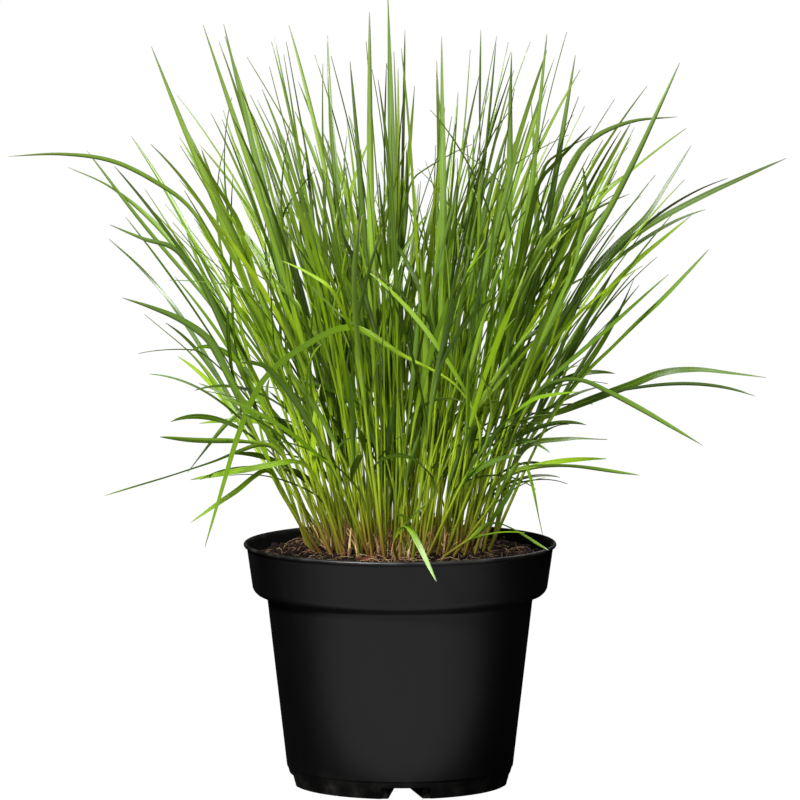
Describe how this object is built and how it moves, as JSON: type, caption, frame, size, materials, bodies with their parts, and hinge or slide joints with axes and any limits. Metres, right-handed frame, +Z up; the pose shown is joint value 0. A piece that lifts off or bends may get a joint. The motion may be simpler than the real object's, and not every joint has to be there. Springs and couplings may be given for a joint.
{
  "type": "potted ornamental grass",
  "caption": "Fan-shaped clump of narrow arching green grass blades growing from soil in a round tapered black plastic nursery pot with a wide collar and drainage channels.",
  "frame": {"origin": "centre of the pot's base, on the surface that it stands on", "axes": "+Z up along the pot's axis; the side that the picture shows is towards -Y, with +X to the right"},
  "size_m": [0.569, 0.479, 0.59],
  "materials": {
    "pot": "satin",
    "soil": "matte",
    "blade": "satin",
    "tuft": "satin"
  },
  "bodies": {
    "root": {"pot": "pot", "soil": "soil", "shoot_left_01": "blade", "shoot_left_02": "blade", "shoot_left_03": "blade", "shoot_left_04": "blade", "shoot_left_05": "blade", "shoot_left_06": "blade", "shoot_left_07": "blade", "shoot_left_08": "blade", "shoot_left_09": "blade", "shoot_left_10": "blade", "shoot_left_11": "blade", "shoot_back_01": "blade", "shoot_back_02": "blade", "shoot_back_03": "blade", "shoot_back_04": "blade", "shoot_back_05": "blade", "shoot_right_01": "blade", "shoot_right_02": "blade", "shoot_right_03": "blade", "shoot_right_04": "blade", "shoot_right_05": "blade", "shoot_right_06": "blade", "shoot_right_07": "blade", "shoot_right_08": "blade", "shoot_right_09": "blade", "shoot_right_10": "blade", "shoot_right_11": "blade", "shoot_right_12": "blade", "shoot_front_01": "blade", "shoot_front_02": "blade", "shoot_front_03": "blade", "shoot_front_04": "blade", "shoot_front_05": "blade", "shoot_front_06": "blade", "shoot_tall_01": "blade", "shoot_tall_02": "blade", "shoot_tall_03": "blade", "shoot_tall_04": "blade", "shoot_tall_05": "blade", "shoot_tall_06": "blade", "shoot_tall_07": "blade", "shoot_tall_08": "blade", "shoot_tall_09": "blade", "shoot_tall_10": "blade", "shoot_tall_11": "blade", "tuft_01": "tuft", "tuft_02": "tuft", "tuft_03": "tuft", "tuft_04": "tuft", "tuft_05": "tuft", "tuft_06": "tuft", "tuft_07": "tuft", "tuft_08": "tuft", "tuft_09": "tuft", "tuft_10": "tuft", "tuft_11": "tuft", "tuft_12": "tuft"}
  },
  "joints": []
}
